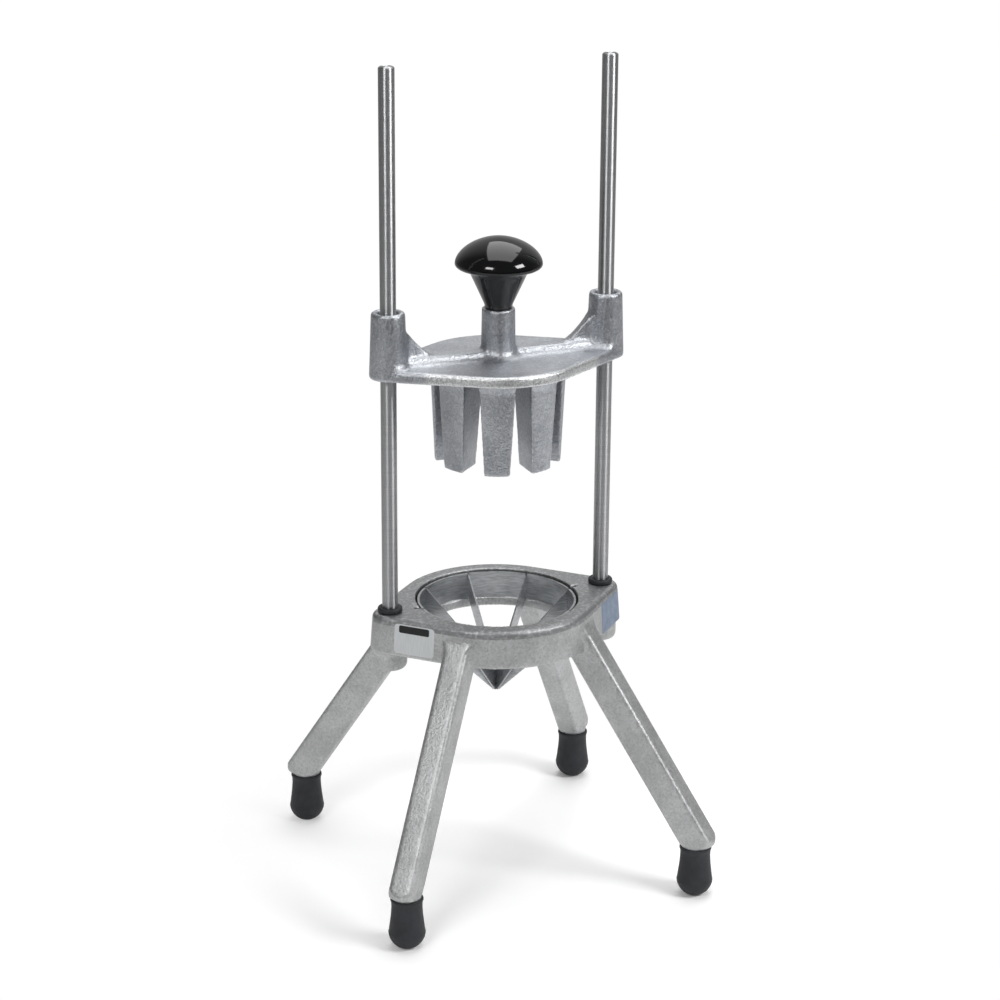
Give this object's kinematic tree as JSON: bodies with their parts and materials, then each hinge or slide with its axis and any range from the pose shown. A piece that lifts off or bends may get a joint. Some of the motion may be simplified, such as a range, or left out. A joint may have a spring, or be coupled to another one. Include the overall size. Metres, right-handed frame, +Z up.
{
  "type": "push-down fruit wedger",
  "caption": "Cast aluminium fruit wedger on four splayed legs: a push block with fingers slides on guide rods and drives the fruit through a cup of crossed blade arms.",
  "frame": {"origin": "on the table, under the centre of the blade ring and midway between the four feet", "axes": "+X runs through the guide rods to the right one as seen from the front, +Y to the rear, +Z straight up along the rods"},
  "size_m": [0.2122, 0.2122, 0.5036],
  "materials": {
    "cast_aluminium": "tumbled casting, satin, brighter on edges",
    "ground_steel": "centreless ground stainless steel, polished",
    "blade_steel": "rolled stainless strip, fine brushed",
    "screw_steel": "blackened machined steel",
    "rubber": "moulded charcoal rubber, matte",
    "bushing_plastic": "moulded bearing plastic, matte",
    "phenolic": "moulded black phenolic, glossy",
    "insert_brass": "turned brass"
  },
  "bodies": {
    "base": {"base_frame": "cast_aluminium", "foot_front_left": "rubber", "foot_front_right": "rubber", "foot_rear_left": "rubber", "foot_rear_right": "rubber", "guide_rod_left": "ground_steel", "guide_rod_right": "ground_steel", "rod_bumper_left": "rubber", "rod_bumper_right": "rubber", "rod_set_screws": "screw_steel", "blade_ring": "blade_steel", "blade_crosswise": "blade_steel", "blade_lengthwise": "blade_steel", "blade_diagonal_left": "blade_steel", "blade_diagonal_right": "blade_steel"},
    "press": {"push_block": "cast_aluminium", "bushing_upper_left": "bushing_plastic", "bushing_upper_right": "bushing_plastic", "bushing_lower_left": "bushing_plastic", "bushing_lower_right": "bushing_plastic", "knob_stud": "screw_steel", "knob_insert": "insert_brass", "knob": "phenolic"}
  },
  "joints": [
    {"name": "press_slide", "type": "slide", "parent": "base", "child": "press", "axis": [0, 0, 1], "range_m": [-0.1432, 0.138]}
  ]
}
